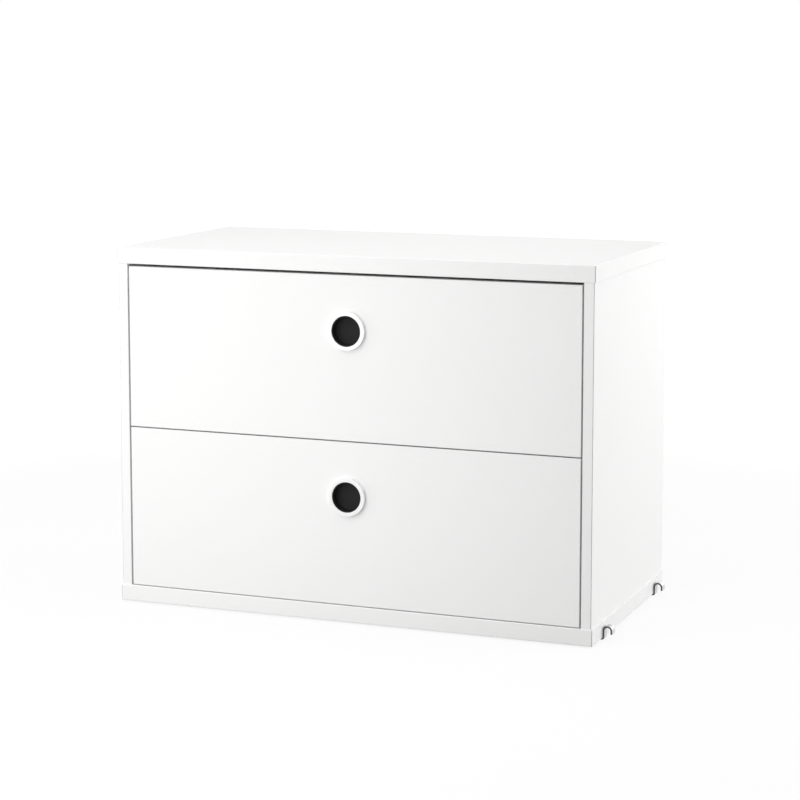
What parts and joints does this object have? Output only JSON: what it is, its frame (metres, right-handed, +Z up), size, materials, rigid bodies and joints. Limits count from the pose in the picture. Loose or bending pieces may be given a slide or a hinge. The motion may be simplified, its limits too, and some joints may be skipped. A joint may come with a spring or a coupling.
{
  "type": "two-drawer cabinet",
  "caption": "Low white cabinet with full-width inset drawers, round recessed pulls, ball runners and steel end hooks that hang it on ladder rungs.",
  "frame": {"origin": "middle of the footprint, at the underside of the hooks' feet", "axes": "+X to the cabinet's right as seen from the front, +Y to its back, +Z up; the drawers open towards -Y"},
  "size_m": [0.602, 0.303, 0.422],
  "materials": {
    "carcass_board": "satin white lacquer on board",
    "front_board": "satin white lacquer on board",
    "back_board": "white painted hardboard",
    "box_board": "white foil on board",
    "bottom_board": "white painted hardboard",
    "beech": "bare beech",
    "pull_white": "smooth white moulding",
    "pull_black": "fine matt black moulding",
    "buffer_rubber": "matt black rubber",
    "hook_steel": "zinc-plated steel strip",
    "runner_steel": "zinc-plated rolled steel",
    "ball_steel": "polished steel",
    "cam_zinc": "bare die-cast zinc",
    "screw_steel": "bright zinc-plated steel"
  },
  "bodies": {
    "cabinet": {"back_panel": "back_board", "bottom_panel": "carcass_board", "cabinet_rail_screws": "screw_steel", "carcass_cam_bolts": "cam_zinc", "carcass_cams": "cam_zinc", "carcass_dowels": "beech", "hook_front_left": "hook_steel", "hook_front_right": "hook_steel", "hook_rear_left": "hook_steel", "hook_rear_right": "hook_steel", "hook_screws": "screw_steel", "left_side_panel": "carcass_board", "lower_left_cabinet_rail": "runner_steel", "lower_right_cabinet_rail": "runner_steel", "rail_buffers": "buffer_rubber", "right_side_panel": "carcass_board", "top_panel": "carcass_board", "upper_left_cabinet_rail": "runner_steel", "upper_right_cabinet_rail": "runner_steel"},
    "upper_drawer": {"upper_drawer_back": "box_board", "upper_drawer_bottom": "bottom_board", "upper_drawer_cam_bolts": "cam_zinc", "upper_drawer_cams": "cam_zinc", "upper_drawer_dowels": "beech", "upper_drawer_front": "front_board", "upper_drawer_left_side": "box_board", "upper_drawer_right_side": "box_board", "upper_left_drawer_rail": "runner_steel", "upper_pull_cup": "pull_black", "upper_pull_ring": "pull_white", "upper_pull_screw": "screw_steel", "upper_rail_screws": "screw_steel", "upper_right_drawer_rail": "runner_steel"},
    "lower_drawer": {"lower_drawer_back": "box_board", "lower_drawer_bottom": "bottom_board", "lower_drawer_cam_bolts": "cam_zinc", "lower_drawer_cams": "cam_zinc", "lower_drawer_dowels": "beech", "lower_drawer_front": "front_board", "lower_drawer_left_side": "box_board", "lower_drawer_right_side": "box_board", "lower_left_drawer_rail": "runner_steel", "lower_pull_cup": "pull_black", "lower_pull_ring": "pull_white", "lower_pull_screw": "screw_steel", "lower_rail_screws": "screw_steel", "lower_right_drawer_rail": "runner_steel"},
    "upper_left_middle_rail": {"upper_left_middle_rail": "runner_steel"},
    "upper_right_middle_rail": {"upper_right_middle_rail": "runner_steel"},
    "upper_outer_ball_cages": {"upper_outer_ball_cages": "runner_steel", "upper_outer_balls": "ball_steel"},
    "upper_inner_ball_cages": {"upper_inner_ball_cages": "runner_steel", "upper_inner_balls": "ball_steel"},
    "lower_left_middle_rail": {"lower_left_middle_rail": "runner_steel"},
    "lower_right_middle_rail": {"lower_right_middle_rail": "runner_steel"},
    "lower_outer_ball_cages": {"lower_outer_ball_cages": "runner_steel", "lower_outer_balls": "ball_steel"},
    "lower_inner_ball_cages": {"lower_inner_ball_cages": "runner_steel", "lower_inner_balls": "ball_steel"}
  },
  "joints": [
    {"name": "upper_drawer_slide", "type": "slide", "parent": "cabinet", "child": "upper_drawer", "axis": [0, -1, 0], "range_m": [0, 0.248]},
    {"name": "lower_drawer_slide", "type": "slide", "parent": "cabinet", "child": "lower_drawer", "axis": [0, -1, 0], "range_m": [0, 0.248]},
    {"name": "upper_left_middle_rail_slide", "type": "slide", "parent": "cabinet", "child": "upper_left_middle_rail", "axis": [0, -1, 0], "range_m": [0, 0.124]},
    {"name": "upper_right_middle_rail_slide", "type": "slide", "parent": "cabinet", "child": "upper_right_middle_rail", "axis": [0, -1, 0], "range_m": [0, 0.124]},
    {"name": "upper_outer_ball_cages_slide", "type": "slide", "parent": "cabinet", "child": "upper_outer_ball_cages", "axis": [0, -1, 0], "range_m": [0, 0.062]},
    {"name": "upper_inner_ball_cages_slide", "type": "slide", "parent": "cabinet", "child": "upper_inner_ball_cages", "axis": [0, -1, 0], "range_m": [0, 0.186]},
    {"name": "lower_left_middle_rail_slide", "type": "slide", "parent": "cabinet", "child": "lower_left_middle_rail", "axis": [0, -1, 0], "range_m": [0, 0.124]},
    {"name": "lower_right_middle_rail_slide", "type": "slide", "parent": "cabinet", "child": "lower_right_middle_rail", "axis": [0, -1, 0], "range_m": [0, 0.124]},
    {"name": "lower_outer_ball_cages_slide", "type": "slide", "parent": "cabinet", "child": "lower_outer_ball_cages", "axis": [0, -1, 0], "range_m": [0, 0.062]},
    {"name": "lower_inner_ball_cages_slide", "type": "slide", "parent": "cabinet", "child": "lower_inner_ball_cages", "axis": [0, -1, 0], "range_m": [0, 0.186]}
  ],
  "couplings": [
    {"joint": "upper_left_middle_rail_slide", "follows": "upper_drawer_slide", "ratio": 0.5},
    {"joint": "upper_right_middle_rail_slide", "follows": "upper_drawer_slide", "ratio": 0.5},
    {"joint": "upper_outer_ball_cages_slide", "follows": "upper_drawer_slide", "ratio": 0.25},
    {"joint": "upper_inner_ball_cages_slide", "follows": "upper_drawer_slide", "ratio": 0.75},
    {"joint": "lower_left_middle_rail_slide", "follows": "lower_drawer_slide", "ratio": 0.5},
    {"joint": "lower_right_middle_rail_slide", "follows": "lower_drawer_slide", "ratio": 0.5},
    {"joint": "lower_outer_ball_cages_slide", "follows": "lower_drawer_slide", "ratio": 0.25},
    {"joint": "lower_inner_ball_cages_slide", "follows": "lower_drawer_slide", "ratio": 0.75}
  ]
}
